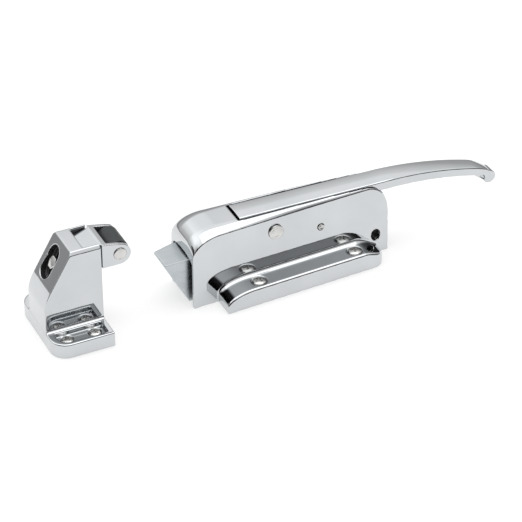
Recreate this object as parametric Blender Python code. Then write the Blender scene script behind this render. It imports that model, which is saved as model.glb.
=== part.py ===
"""Cold-room door latch with a pull lever, and its adjustable roller strike.

Frame: metres, +Z up and away from the door face, which is the plane Z = 0.
The origin is the middle of the latch's mounting face, X runs along the latch
from the bolt (-X) to the end of the lever (+X), and every casting mirrors
about Y = 0 but for the strike's slot. Lengths below are in millimetres and
MM turns them into metres.
"""
import math

import bmesh
import bpy
from mathutils import Matrix, Vector

MM = 0.001

# ---- latch housing --------------------------------------------------------
BODY_X0, BODY_X1 = -82.5, 82.5      # bolt end and lever end
BODY_HALF_WIDE = 20.15              # half width at the bolt end
TAPER = math.tan(math.radians(2.7))  # each side draws in towards the lever end
WALL = 3.0
SIDE_TOP = 57.6                     # top of the flat side walls
CROWN_LEFT, CROWN_RIGHT = 61.8, 59.4  # height of the top face at both ends
NOSE_RX, NOSE_DROP = 23.0, 12.6     # rounded nose over the bolt
SIDE_DROP_RATIO, TOP_DROP_RATIO = 1.2, 1.09  # the sides fall further than the top
TAIL_RX, TAIL_RZ = 18.5, 23.0       # round corner at the lever end
MOUTH_TOP = 43.2
SLOT_X0 = -42.8                     # slot that the lever sits in
SLOT_GAP = 0.8
SLOT_FLOOR = 50.6
SIDE_HOLE = (71.8, 15.8, 3.9, 4.9)  # x, z, half width, half height

FLANGE_X0, FLANGE_X1 = -62.7, 72.0
FLANGE_WIDE = 18.6
FLANGE_TOP = 14.9
FLANGE_RISE = 23.0                  # length of the rounded rise at the bolt end
FLANGE_FALL = 18.0                  # length of the slope down at the lever end
FLANGE_END_DROP = 7.4
FLANGE_EDGE_R = 2.3
FLANGE_CORNER_R = 10.0
COVE_R = 4.5
SCREW_X = (-33.0, 48.3)             # mounting screws, one pair each side
SCREW_Y = 9.6                       # their distance out from the side wall

# ---- lever ----------------------------------------------------------------
PIVOT = (-14.0, 46.2)               # x, z of the lever's pivot pin
PIVOT_R = 4.0
ARM_LENGTH = 32.0
ARM_TIP_R = 3.5
LEVER_X0 = -40.2
CURL_X0 = 160.0                     # where the lever's end starts to curl down
BEAD = (174.9, 34.3, 5.3)           # x, z and radius of the rolled end
BEAD_HALF = 5.0
STOP = (24.3, 38.1)                 # x, z of the stop pin
STOP_R = 2.4
SLEEVE_R = 4.2

# ---- bolt -----------------------------------------------------------------
BOLT_NOSE = -101.8
BOLT_TOP = 39.3
BOLT_FLOOR = 1.9
BOLT_HALF = 12.5
BOLT_BACK = -46.0
TAIL_HALF = 7.5
TAIL_TOP = 20.0
TAIL_END = -4.6
SPRING_Z = 12.0
SPRING_R = 5.2
SPRING_WIRE = 0.65
SPRING_TURNS = 9
SEAT_X = 40.5                       # cross wall that the spring pushes on
ROD_R = 2.4
ROD_END = 56.0

# ---- base plate -----------------------------------------------------------
PLATE_T = 1.5
PLATE_X0, PLATE_X1 = -62.0, 78.9
BOSS = ((-22.0, 11.2), (66.0, 7.4))  # x, y of the plate's screw bosses
BOSS_R = 2.9

# ---- strike ---------------------------------------------------------------
STRIKE_X = 1.0                      # shift of the whole strike along X
STRIKE_X0, STRIKE_X1 = -198.6, -153.2
STRIKE_TOP = 75.0
STRIKE_HALF = 16.4
STRIKE_WALL = 3.6
STRIKE_FLANGE_HALF = 36.8
STRIKE_FLANGE_TOP = 12.0
STRIKE_RIM = 3.4                    # raised rim round the recess for the screws
SLANT_FOOT = (-197.0, 39.0)         # x, z where the slanted back begins
SLANT_HEAD = (-175.9, 75.0)         # x, z where it meets the top
SLANT_WALL = 9.0                    # the slanted back is thick, for its stepped slot
SLOT_LONG, SLOT_HALF = 27.0, 7.6    # slot for the adjusting screw's head
SLOT_Y = 3.6                        # the slot lies a little towards +Y
SLOT_DEPTH = 5.5
SLOT_INNER_LONG, SLOT_INNER_HALF = 24.0, 3.6  # narrower slot for its shank
SLOT_UP = 22.6                      # slot's centre, up the slanted back from its foot
CLAMP_HEAD_R, CLAMP_HEAD_T = 5.2, 3.3
CLAMP_SHANK_R = 3.2
CLAMP_LONG = 12.0
STEM_GAP = 0.4                      # stem to the walls around it
STRIKE_SCREW_X = (-186.0, -164.5)
STRIKE_SCREW_Y = 25.6
ROLLER = (-138.2, 62.5)             # x, z of the roller's pin
ROLLER_R = 8.5
ROLLER_HALF = 10.9
EAR_HALF, EAR_INNER = 14.6, 11.3
EAR_R = 8.5
EAR_LOW, EAR_TOP = 53.4, 73.6
EAR_GAP = 1.3                       # strike's front edge to the ears
ROLLER_PIN_R = 3.2

GAP = 0.3                           # air between neighbouring pieces

for old in list(bpy.data.objects):
    bpy.data.objects.remove(old, do_unlink=True)


# ---- materials ------------------------------------------------------------
def material(name, colour, roughness, metallic):
    mat = bpy.data.materials.new(name)
    mat.use_nodes = True
    shader = mat.node_tree.nodes["Principled BSDF"]
    shader.inputs["Base Color"].default_value = (*colour, 1.0)
    shader.inputs["Roughness"].default_value = roughness
    shader.inputs["Metallic"].default_value = metallic
    return mat


CHROME = material("chrome_plated_zinc", (0.78, 0.79, 0.80), 0.08, 1.0)
ZINC = material("plain_zinc", (0.50, 0.54, 0.58), 0.32, 1.0)
STEEL = material("bright_steel", (0.60, 0.60, 0.58), 0.25, 1.0)
SPRING_STEEL = material("spring_steel", (0.35, 0.35, 0.36), 0.35, 1.0)
NYLON_BLACK = material("black_nylon", (0.03, 0.035, 0.035), 0.5, 0.0)
NYLON_WHITE = material("white_nylon", (0.80, 0.79, 0.74), 0.5, 0.0)


# ---- modelling helpers ----------------------------------------------------
def finish_mesh(name, bm, mat, sharp=32.0):
    """Turn a bmesh in millimetres into a named, smooth-shaded object."""
    bmesh.ops.scale(bm, vec=(MM, MM, MM), verts=bm.verts)
    bmesh.ops.recalc_face_normals(bm, faces=bm.faces)
    mesh = bpy.data.meshes.new(name)
    bm.to_mesh(mesh)
    bm.free()
    mesh.shade_smooth()
    mesh.set_sharp_from_angle(angle=math.radians(sharp))
    obj = bpy.data.objects.new(name, mesh)
    bpy.context.scene.collection.objects.link(obj)
    if mat:
        mesh.materials.append(mat)
    return obj


def cutter(name, bm):
    """A helper solid that only feeds a Boolean."""
    obj = finish_mesh(name, bm, None)
    obj.hide_render = True
    obj.display_type = "WIRE"
    return obj


def combine(obj, other, operation):
    mod = obj.modifiers.new(other.name, "BOOLEAN")
    mod.operation = operation
    mod.solver = "EXACT"
    mod.object = other


def move_origin(obj, x, y, z):
    """Put an object's origin on its joint's axis without moving its shape."""
    point = Vector((x, y, z)) * MM
    obj.data.transform(Matrix.Translation(-point))
    obj.location = point


def loft(rings):
    """Skin closed rings of equal length and cap both ends."""
    bm = bmesh.new()
    loops = [[bm.verts.new(point) for point in ring] for ring in rings]
    count = len(loops[0])
    for near, far in zip(loops, loops[1:]):
        for i in range(count):
            j = (i + 1) % count
            bm.faces.new((near[i], near[j], far[j], far[i]))
    bm.faces.new(loops[0])
    bm.faces.new(loops[-1])
    return bm


def prism(outline, y0, y1):
    """Extrude an X-Z outline from y0 to y1."""
    return loft([[(x, y, z) for x, z in outline] for y in (y0, y1)])


def slab(x0, x1, y0, y1, z0, z1):
    return prism([(x0, z0), (x1, z0), (x1, z1), (x0, z1)], y0, y1)


def arc(cx, cz, rx, rz, start, end, steps):
    """Points of an elliptical arc, angles in degrees."""
    points = []
    for i in range(steps + 1):
        a = math.radians(start + (end - start) * i / steps)
        points.append((cx + rx * math.cos(a), cz + rz * math.sin(a)))
    return points


def turned(profile, segments, place):
    """Revolve (radius, height) points about Z, then place the result."""
    bm = bmesh.new()
    rings = []
    for radius, height in profile:
        if radius == 0:
            rings.append([bm.verts.new((0, 0, height))])
            continue
        ring = []
        for i in range(segments):
            a = math.tau * i / segments
            ring.append(bm.verts.new((radius * math.cos(a), radius * math.sin(a), height)))
        rings.append(ring)
    for low, high in zip(rings, rings[1:]):
        for i in range(segments):
            j = (i + 1) % segments
            quad = [low[i % len(low)], low[j % len(low)], high[j % len(high)], high[i % len(high)]]
            bm.faces.new(list(dict.fromkeys(quad)))
    for ring in (rings[0], rings[-1]):
        if len(ring) > 1:
            bm.faces.new(ring)
    bmesh.ops.transform(bm, matrix=place, verts=bm.verts)
    return bm


def ring_solid(outer, inner, y0, y1, segments, place):
    """A plain tube whose axis is Z before it is placed."""
    bm = bmesh.new()
    loops = []
    for radius, height in ((outer, y0), (outer, y1), (inner, y1), (inner, y0)):
        loops.append([bm.verts.new((radius * math.cos(math.tau * i / segments),
                                    radius * math.sin(math.tau * i / segments), height))
                      for i in range(segments)])
    for k in range(4):
        low, high = loops[k], loops[(k + 1) % 4]
        for i in range(segments):
            j = (i + 1) % segments
            bm.faces.new((low[i], low[j], high[j], high[i]))
    bmesh.ops.transform(bm, matrix=place, verts=bm.verts)
    return bm


def along_y(x, y, z):
    """Turn +Z to -Y, the side that faces a person at the door, and place it."""
    return Matrix.Translation((x, y, z)) @ Matrix.Rotation(math.radians(90), 4, "X")


def along_x(x, y, z):
    return Matrix.Translation((x, y, z)) @ Matrix.Rotation(math.radians(90), 4, "Y")


def upright(x, y, z):
    return Matrix.Translation((x, y, z))


def join(*parts):
    """Merge bmeshes that don't touch into one, for a cutter with many tools."""
    whole = bmesh.new()
    for part in parts:
        mesh = bpy.data.meshes.new("tool")
        part.to_mesh(mesh)
        part.free()
        whole.from_mesh(mesh)
        bpy.data.meshes.remove(mesh)
    return whole


# ---- latch housing --------------------------------------------------------
def half_width(x):
    return BODY_HALF_WIDE - TAPER * (x - BODY_X0)


def crown(x):
    share = (x - BODY_X0) / (BODY_X1 - BODY_X0)
    return CROWN_LEFT + (CROWN_RIGHT - CROWN_LEFT) * share


def end_drops(x, inset=0.0):
    """How far the side's top edge and the crown fall near either end."""
    nose_end, tail_start = BODY_X0 + NOSE_RX, BODY_X1 - TAIL_RX
    if x < nose_end:
        share = min(1.0, (nose_end - x) / (NOSE_RX - inset))
        drop = NOSE_DROP * (1.0 - math.sqrt(1.0 - share * share))
        return SIDE_DROP_RATIO * drop, TOP_DROP_RATIO * drop
    if x > tail_start:
        share = min(1.0, (x - tail_start) / (TAIL_RX - inset))
        drop = (TAIL_RZ - inset) * (1.0 - math.sqrt(1.0 - share * share))
        return drop, drop
    return 0.0, 0.0


def shoulder(x):
    """Width of the rounding between side wall and top: wide over the nose."""
    share = max(0.0, min(1.0, (20.0 - x) / (20.0 - BODY_X0)))
    return 2.6 + 9.4 * share ** 1.6


def stations(x0, x1, inset=0.0):
    """X positions: close together round the nose and the tail corner."""
    nose = [BODY_X0 + NOSE_RX - (NOSE_RX - inset) * math.sin(math.radians(a))
            for a in (90, 78, 66, 54, 42, 30, 15)]
    middle = [-56.0, -40.0, -20.0, 0.0, 20.0, 42.0, BODY_X1 - TAIL_RX]
    tail = [BODY_X1 - TAIL_RX + (TAIL_RX - inset) * math.sin(math.radians(a))
            for a in (15, 30, 45, 58, 70, 80, 90)]
    return [x for x in nose + middle + tail if x0 <= x <= x1]


def body_ring(x, inset=0.0, floor=0.0):
    """Section of the body at x, drawn in by inset on the sides and top."""
    half = half_width(x) - inset
    side_drop, top_drop = end_drops(x, inset)
    side = SIDE_TOP - side_drop - inset * 0.6
    top = crown(x) - top_drop - inset
    wide = max(1.2, shoulder(x) - inset * 0.7)
    ring = [(half, floor), (half, side)]
    ring += [(half - wide + wide * math.cos(math.radians(a)),
              side + (top - side) * math.sin(math.radians(a))) for a in (22, 45, 68, 90)]
    other = [(-y, z) for y, z in reversed(ring)]
    return [(x, y, z) for y, z in ring + other]


def cavity_rings():
    return [body_ring(x, WALL, -2.0) for x in stations(BODY_X0 + WALL, BODY_X1 - WALL, WALL)]


def mouth():
    """Opening for the bolt in the bolt end, with an arched top."""
    half = half_width(BODY_X0) - WALL
    outline = [(-half, -2.0), (half, -2.0), (half, MOUTH_TOP - 6.0)]
    outline += [(half * math.cos(math.radians(a)), MOUTH_TOP - 6.0 + 6.0 * math.sin(math.radians(a)))
                for a in (20, 40, 60, 80, 100, 120, 140, 160)]
    outline += [(-half, MOUTH_TOP - 6.0)]
    return loft([[(x, y, z) for y, z in outline] for x in (BODY_X0 - 3.0, BODY_X0 + WALL + 6.0)])


def lever_slot():
    rings = []
    for x in (SLOT_X0, BODY_X1 + 4.0):
        half = lever_half(x) + SLOT_GAP
        rings.append([(x, -half, SLOT_FLOOR), (x, half, SLOT_FLOOR), (x, half, 70.0), (x, -half, 70.0)])
    return loft(rings)


def flange_fall(x):
    """0 on the level part of a flange, 1 at its end by the lever."""
    return max(0.0, (x - FLANGE_X1 + FLANGE_FALL) / FLANGE_FALL)


def flange_height(x):
    rise = FLANGE_X0 + FLANGE_RISE
    if x >= rise:
        return FLANGE_TOP - FLANGE_END_DROP * flange_fall(x) ** 1.6
    share = (rise - x) / FLANGE_RISE
    return 5.5 + (FLANGE_TOP - 5.5) * math.sqrt(1.0 - share * share)


def flange(side):
    """One mounting flange: side is -1 or 1."""
    corner = FLANGE_X1 - FLANGE_CORNER_R
    xs = [FLANGE_X0 + FLANGE_RISE * (1 - math.sin(math.radians(a))) for a in (90, 75, 60, 45, 30, 15)]
    xs += [FLANGE_X0 + FLANGE_RISE, -10.0, 20.0, FLANGE_X1 - FLANGE_FALL, 58.0, corner]
    xs += [corner + FLANGE_CORNER_R * math.sin(math.radians(a)) for a in (18, 36, 54, 72, 90)]
    rings = []
    for x in xs:
        wall_y = half_width(x)
        share = max(0.0, (x - corner) / FLANGE_CORNER_R)
        edge = wall_y + FLANGE_WIDE - FLANGE_CORNER_R * (1.0 - math.sqrt(max(0.0, 1.0 - share * share)))
        top = flange_height(x)
        round_r = min(FLANGE_EDGE_R, top * 0.3)
        cove = COVE_R * (1.0 - 0.75 * min(1.0, flange_fall(x)))
        ring = [(wall_y - 1.2, 0.0), (edge, 0.0)]
        ring += arc(edge - round_r, top - round_r, round_r, round_r, 0, 90, 4)
        ring += arc(wall_y + cove, top + cove, cove, cove, 270, 184, 5)
        ring += [(wall_y - 1.2, top + cove)]
        rings.append([(x, side * y, z) for y, z in ring])
    return loft(rings)


def mounting_points():
    for x in SCREW_X:
        for side in (-1, 1):
            yield x, side * (half_width(x) + SCREW_Y)


def countersinks(points, top, shank, head):
    """Through holes with a conical seat for oval-head screws."""
    tools = []
    for x, y in points:
        profile = [(0, -1.0), (shank, -1.0), (shank, top - head + shank), (head, top), (head, top + 6.0),
                   (0, top + 6.0)]
        tools.append(turned(profile, 32, upright(x, y, 0.0)))
    return join(*tools)


def inner_ribs():
    """Cast features inside: bolt guides, plate bosses and the spring's wall."""
    parts = []
    for side in (-1, 1):
        for z0, z1 in ((7.0, 11.0), (29.0, 33.0)):
            ring = []
            for x in (-77.0, -50.0):
                y0, y1 = BOLT_HALF + 0.5, half_width(x) - WALL + 1.0
                ring.append([(x, side * y0, z0), (x, side * y1, z0),
                             (x, side * y1, z1), (x, side * y0, z1)])
            parts.append(loft(ring))
        for x, y in BOSS:
            wall_y = half_width(x) - WALL + 1.0
            low, high = PLATE_T + GAP, 11.0
            y0, y1 = sorted((side * (y - BOSS_R), side * wall_y))
            parts.append(slab(x - BOSS_R, x + BOSS_R, y0, y1, low, high))
    wall_y = half_width(SEAT_X) - WALL + 1.0
    parts.append(slab(SEAT_X, SEAT_X + 3.0, -wall_y, wall_y, PLATE_T + GAP, 20.0))
    return join(*parts)


def boss_holes():
    tools = [turned([(0, 0.0), (1.7, 0.0), (1.7, 9.0), (0, 9.0)], 16, upright(x, side * y, 0.0))
             for x, y in BOSS for side in (-1, 1)]
    rod = ROD_R + GAP
    notch = arc(0, SPRING_Z, rod, rod, 0, 180, 10) + [(-rod, 0.0), (rod, 0.0)]
    tools.append(loft([[(x, y, z) for y, z in notch] for x in (SEAT_X - 1.0, SEAT_X + 4.0)]))
    return join(*tools)


def pin_holes():
    """Cross holes for both pins, and the two oblong side holes."""
    wide = BODY_HALF_WIDE + 3.0
    tools = [turned([(0, -wide), (PIVOT_R + GAP, -wide), (PIVOT_R + GAP, wide), (0, wide)], 32,
                    along_y(PIVOT[0], 0, PIVOT[1])),
             turned([(0, -wide), (STOP_R + GAP, -wide), (STOP_R + GAP, wide), (0, wide)], 20,
                    along_y(STOP[0], 0, STOP[1]))]
    x, z, half_w, half_h = SIDE_HOLE
    outline = arc(x, z, half_w, half_h, 0, 345, 23)
    tools.append(prism(outline, -wide, wide))
    return join(*tools)


def latch_housing():
    xs = stations(BODY_X0, BODY_X1)
    obj = finish_mesh("latch_housing", loft([body_ring(x) for x in xs]), CHROME, 28.0)
    steps = [("housing_flange_near", flange(-1), "UNION"),
             ("housing_flange_far", flange(1), "UNION"),
             ("housing_cavity", loft(cavity_rings()), "DIFFERENCE"),
             ("housing_mouth", mouth(), "DIFFERENCE"),
             ("housing_slot", lever_slot(), "DIFFERENCE"),
             ("housing_ribs", inner_ribs(), "UNION"),
             ("housing_bosses", boss_holes(), "DIFFERENCE"),
             ("housing_pins", pin_holes(), "DIFFERENCE"),
             ("housing_screws", countersinks(mounting_points(), FLANGE_TOP, 2.9, 6.2), "DIFFERENCE")]
    for name, bm, operation in steps:
        combine(obj, cutter(name, bm), operation)
    return obj


# ---- lever ----------------------------------------------------------------
def lever_top(x):
    """Height of the lever's back: almost level, then drooping to its end."""
    level = CROWN_LEFT - 0.1 - 0.018 * (x - LEVER_X0)
    return level - 0.00171 * max(0.0, x - 82.0) ** 2 - 0.0125 * max(0.0, x - CURL_X0) ** 2


def lever_half(x):
    return 9.9 - 0.0045 * max(0.0, x - LEVER_X0) - 0.023 * max(0.0, x - 82.0)


def lever_thick(x):
    return 7.5 - 0.009 * max(0.0, x - 90.0)


def lever_rings(x0, x1, side_in, top_in, floor_in, steps):
    rings = []
    for i in range(steps + 1):
        x = x0 + (x1 - x0) * i / steps
        half = lever_half(x) - side_in
        top = lever_top(x) - top_in
        low = lever_top(x) - lever_thick(x) + floor_in
        edge = 1.3
        ring = [(half, low), (half, top - edge)]
        ring += arc(half - edge, top - edge, edge, edge, 30, 90, 2)
        ring += [(half * 0.5, top + 0.35), (0.0, top + 0.5)]
        other = [(-y, z) for y, z in reversed(ring[:-1])]
        rings.append([(x, y, z) for y, z in ring + other])
    return rings


def lever_end():
    """The end that curls down into a rolled bead."""
    x, z, r = BEAD
    top = [(tx, lever_top(tx) - 0.2) for tx in (156.5, CURL_X0, 163.0, 166.0, 169.0, 172.0)]
    outline = [(156.5, lever_top(156.5) - lever_thick(156.5) + 0.4)] + top
    outline += arc(x, z, r, r, 75, -140, 13) + [(165.0, 35.9), (CURL_X0, 40.1)]
    half = lever_half(CURL_X0) + 1.0
    return prism(outline, -half, half)


def lever_plan():
    """Outline of the lever in plan, which rounds off its curled end."""
    points = [(LEVER_X0 - 2.0, 11.0), (82.0, 10.6), (CURL_X0 - 2.0, lever_half(CURL_X0) + 0.4)]
    points += [(163.0, 6.95), (166.5, 6.5), (170.0, 5.95), (173.0, 5.45), (BEAD[0] + 1.0, BEAD_HALF),
               (178.6, 4.2), (180.6, 2.4)]
    outline = points + [(x, -y) for x, y in reversed(points)]
    return loft([[(x, y, z) for x, y in outline] for z in (0.0, 80.0)])


def lever_arm():
    """Cheeks round the pivot pin and the arm that draws the bolt back."""
    px, pz = PIVOT
    parts = []
    for side in (-1, 1):
        outline = [(px - 13.0, lever_top(px) - 1.4)]
        outline += arc(px, pz, PIVOT_R + 3.0, PIVOT_R + 3.0, 195, 345, 10)
        outline += [(px + 15.0, lever_top(px) - 1.4)]
        parts.append(prism(outline, side * 5.6, side * 8.6))
    return join(*parts)


def lever_tongue():
    px, pz = PIVOT
    outline = arc(px, pz - ARM_LENGTH, ARM_TIP_R, ARM_TIP_R, 220, 320, 8)
    outline += [(px + 2.5, pz - ARM_LENGTH + 4.5), (px + 2.5, pz - 12.0), (px + 7.5, pz), (px + 7.5, 59.8),
                (px - 7.5, 59.8), (px - 7.5, pz), (px - 2.5, pz - 12.0), (px - 2.5, pz - ARM_LENGTH + 4.5)]
    return prism(outline, -3.2, 3.2)


def lever_stop_rib():
    low = STOP[1] + SLEEVE_R + GAP
    return prism([(19.5, low), (29.0, low), (31.0, 59.2), (17.5, 59.2)], -2.2, 2.2)


def lever_handle():
    obj = finish_mesh("lever_handle", loft(lever_rings(LEVER_X0, CURL_X0, 0.0, 0.0, 0.0, 26)), CHROME, 30.0)
    hollow = loft(lever_rings(LEVER_X0 + 2.4, 156.0, 2.1, 2.6, -4.0, 20))
    bore = turned([(0, -12.0), (PIVOT_R + GAP, -12.0), (PIVOT_R + GAP, 12.0), (0, 12.0)], 28,
                  along_y(PIVOT[0], 0, PIVOT[1]))
    steps = [("lever_hollow", hollow, "DIFFERENCE"),
             ("lever_end_curl", lever_end(), "UNION"),
             ("lever_outline", lever_plan(), "INTERSECT"),
             ("lever_cheeks", lever_arm(), "UNION"),
             ("lever_tongue", lever_tongue(), "UNION"),
             ("lever_stop_rib", lever_stop_rib(), "UNION"),
             ("lever_bore", bore, "DIFFERENCE")]
    for name, bm, operation in steps:
        combine(obj, cutter(name, bm), operation)
    move_origin(obj, PIVOT[0], 0, PIVOT[1])
    return obj


def cross_pin(name, x, z, radius, head_r, head_t, mat):
    """A pin through both side walls, with its head on the -Y side."""
    near = half_width(x - head_r) + GAP
    far = half_width(x) + 1.6
    profile = [(0, -far), (radius, -far), (radius, near - GAP), (radius, near), (head_r, near),
               (head_r, near + head_t * 0.6), (head_r - 0.5, near + head_t), (0, near + head_t)]
    if head_r <= radius + 0.01:
        profile = [(0, -far), (radius, -far), (radius, near + head_t * 0.6),
                   (radius * 0.8, near + head_t), (0, near + head_t)]
    return finish_mesh(name, turned(profile, 28, along_y(x, 0, z)), mat)


def pins():
    pin = cross_pin("lever_pivot_pin", *PIVOT, PIVOT_R, 6.0, 1.0, STEEL)
    move_origin(pin, PIVOT[0], 0, PIVOT[1])
    cross_pin("lever_stop_pin", *STOP, STOP_R, STOP_R, 0.5, STEEL)
    far = half_width(PIVOT[0] - 7.0) + 0.5
    finish_mesh("pivot_pin_ring", ring_solid(6.4, PIVOT_R + 0.25, -far - 0.9, -far, 28,
                                             along_y(PIVOT[0], 0, PIVOT[1])), STEEL)
    finish_mesh("lever_stop_sleeve", ring_solid(SLEEVE_R, STOP_R + 0.25, -7.0, 7.0, 24,
                                                along_y(STOP[0], 0, STOP[1])), NYLON_WHITE)


# ---- bolt -----------------------------------------------------------------
def bolt_block():
    """Wedge nose on a full-width block, bevelled on the side facing the door."""
    side = [(BOLT_NOSE, BOLT_TOP - 1.6), (-82.9, BOLT_FLOOR), (BOLT_BACK, BOLT_FLOOR), (BOLT_BACK, 26.0),
            (BOLT_BACK - 4.0, BOLT_TOP), (BOLT_NOSE + 0.8, BOLT_TOP), (BOLT_NOSE, BOLT_TOP - 0.6)]
    return prism(side, -BOLT_HALF, BOLT_HALF)


def latch_bolt():
    obj = finish_mesh("latch_bolt", bolt_block(), ZINC, 30.0)
    tail = slab(BOLT_BACK - 3.0, TAIL_END, -TAIL_HALF, TAIL_HALF, BOLT_FLOOR, TAIL_TOP)
    pocket = slab(-20.4, PIVOT[0] + ARM_TIP_R + 0.7, -3.9, 3.9, 3.4, TAIL_TOP + 2.0)
    hollow = slab(-78.0, BOLT_BACK - 3.5, -BOLT_HALF + 3.0, BOLT_HALF - 3.0, BOLT_FLOOR - 1.0, BOLT_TOP - 4.0)
    corner = loft([[(BOLT_NOSE - 1.0, 7.4, z), (-85.5, BOLT_HALF + 0.02, z), (BOLT_NOSE - 1.0, 20.0, z)]
                   for z in (-1.0, BOLT_TOP + 2.0)])
    socket = turned([(0, -5.0), (ROD_R + GAP, -5.0), (ROD_R + GAP, 3.0), (0, 3.0)], 24,
                    along_x(TAIL_END, 0, SPRING_Z))
    steps = [("bolt_tail", tail, "UNION"), ("bolt_pocket", pocket, "DIFFERENCE"),
             ("bolt_hollow", hollow, "DIFFERENCE"), ("bolt_far_corner", corner, "DIFFERENCE"),
             ("bolt_rod_socket", socket, "DIFFERENCE")]
    for name, bm, operation in steps:
        combine(obj, cutter(name, bm), operation)
    return obj


def bolt_spring():
    """Compression spring: a swept coil whose end turns lie flat."""
    start, end = TAIL_END + GAP + SPRING_WIRE, SEAT_X - 1.6 - GAP - SPRING_WIRE
    per_turn, sides = 14, 6
    count = SPRING_TURNS * per_turn
    rings = []
    for i in range(count + 1):
        turn = i / per_turn
        share = max(0.0, min(1.0, (turn - 0.9) / (SPRING_TURNS - 1.8)))
        flat = 1.35 * SPRING_WIRE * 2
        lead = min(turn, 0.9) * flat + max(0.0, turn - SPRING_TURNS + 0.9) * flat
        x = start + lead + share * (end - start - 1.8 * flat)
        a = math.tau * turn
        out = Vector((0, math.cos(a), math.sin(a)))
        centre = Vector((x, 0, SPRING_Z)) + SPRING_R * out
        ring = []
        for k in range(sides):
            b = math.tau * k / sides
            ring.append(centre + SPRING_WIRE * (math.cos(b) * out + math.sin(b) * Vector((1, 0, 0))))
        rings.append(ring)
    return finish_mesh("bolt_spring", loft(rings), SPRING_STEEL, 60.0)


def spring_parts():
    rod = turned([(0, -4.6), (ROD_R, -4.6), (ROD_R, ROD_END - TAIL_END - 0.8),
                  (ROD_R - 0.8, ROD_END - TAIL_END), (0, ROD_END - TAIL_END)], 24,
                 along_x(TAIL_END, 0, SPRING_Z))
    finish_mesh("spring_guide_rod", rod, STEEL)
    washer = ring_solid(6.6, ROD_R + GAP, SEAT_X - 1.6, SEAT_X - GAP, 28, along_x(0, 0, SPRING_Z))
    finish_mesh("spring_washer", washer, STEEL)


# ---- base plate -----------------------------------------------------------
def base_plate():
    """Thin plate that closes the underside, level with the mounting face."""
    ring = []
    for z in (0.0, PLATE_T):
        left, right = (half_width(x) - WALL - 0.5 for x in (PLATE_X0, PLATE_X1))
        ring.append([(PLATE_X0, -left, z), (PLATE_X1, -right, z), (PLATE_X1, right, z), (PLATE_X0, left, z)])
    obj = finish_mesh("base_plate", loft(ring), STEEL)
    tools = [turned([(0, -1.0), (3.1, -1.0), (3.1, 0.2), (1.8, PLATE_T - 0.1), (1.8, 3.0), (0, 3.0)], 20,
                    upright(x, side * y, 0.0)) for x, y in BOSS for side in (-1, 1)]
    combine(obj, cutter("plate_holes", join(*tools)), "DIFFERENCE")
    for i, (x, y) in enumerate((x, side * y) for x, y in BOSS for side in (-1, 1)):
        profile = [(0, 0.15), (2.6, 0.15), (1.4, 1.45), (1.4, 8.2), (0, 8.2)]
        screw = finish_mesh(f"base_plate_screw_{i + 1}", turned(profile, 16, upright(x, y, 0.0)), STEEL)
        cross = cutter(f"plate_cross_{i + 1}", slab(x - 1.5, x + 1.5, y - 0.3, y + 0.3, -1.0, 0.7))
        combine(screw, cross, "DIFFERENCE")


# ---- screws ---------------------------------------------------------------
def oval_screw(name, x, y, top, shank, head):
    """Oval-head Phillips screw, its shank ending above the mounting face."""
    dome = [(head * math.cos(math.radians(a)), top - 0.35 + 1.7 * math.sin(math.radians(a)))
            for a in (0, 25, 50, 75)]
    profile = [(0, 0.4), (shank, 0.4), (shank, top - 0.35 - head + shank)] + dome + [(0, top + 1.35)]
    obj = finish_mesh(name, turned(profile, 24, upright(x, y, 0.0)), STEEL, 40.0)
    long, thin = head * 0.5, head * 0.13
    tools = [slab(x - long, x + long, y - thin, y + thin, top - 1.2, top + 4.0),
             slab(x - thin, x + thin, y - long, y + long, top - 1.2, top + 4.0)]
    for i, tool in enumerate(tools):
        combine(obj, cutter(f"{name}_recess_{i + 1}", tool), "DIFFERENCE")


def mounting_screws():
    for i, (x, y) in enumerate(mounting_points()):
        oval_screw(f"latch_mounting_screw_{i + 1}", x, y, FLANGE_TOP, 2.5, 5.6)
    for i, (x, y) in enumerate(strike_points()):
        oval_screw(f"strike_mounting_screw_{i + 1}", x, y, STRIKE_FLANGE_TOP - 3.6, 2.3, 4.7)


# ---- strike ---------------------------------------------------------------
def strike_points():
    for x in STRIKE_SCREW_X:
        for side in (-1, 1):
            yield x + STRIKE_X, side * STRIKE_SCREW_Y


def slant_vector():
    run = Vector((SLANT_HEAD[0] - SLANT_FOOT[0], 0, SLANT_HEAD[1] - SLANT_FOOT[1]))
    return run.normalized()


def strike_outline(inset=0.0, floor=0.0):
    """Side view of the strike's body: upright foot, blend, slanted back."""
    along = slant_vector()
    shift_x = inset / abs(along.z)
    x0, x1 = STRIKE_X0 + inset, STRIKE_X1
    fx, fz = SLANT_FOOT[0] + shift_x, SLANT_FOOT[1]
    hx, hz = SLANT_HEAD[0] + shift_x, SLANT_HEAD[1]
    lower = Vector((x0, 0, fz - 10.0))
    bend = Vector((x0, 0, fz - (fx - x0) * along.z / along.x))
    upper = Vector((fx, 0, fz)) + along * 8.0
    curve = []
    for i in range(6):
        t = i / 5
        point = (1 - t) ** 2 * lower + 2 * t * (1 - t) * bend + t * t * upper
        curve.append((point.x, point.z))
    outline = [(x1, floor), (x1, hz), (hx, hz)] + curve[::-1] + [(x0, floor)]
    return [(x + STRIKE_X, z) for x, z in outline]


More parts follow.
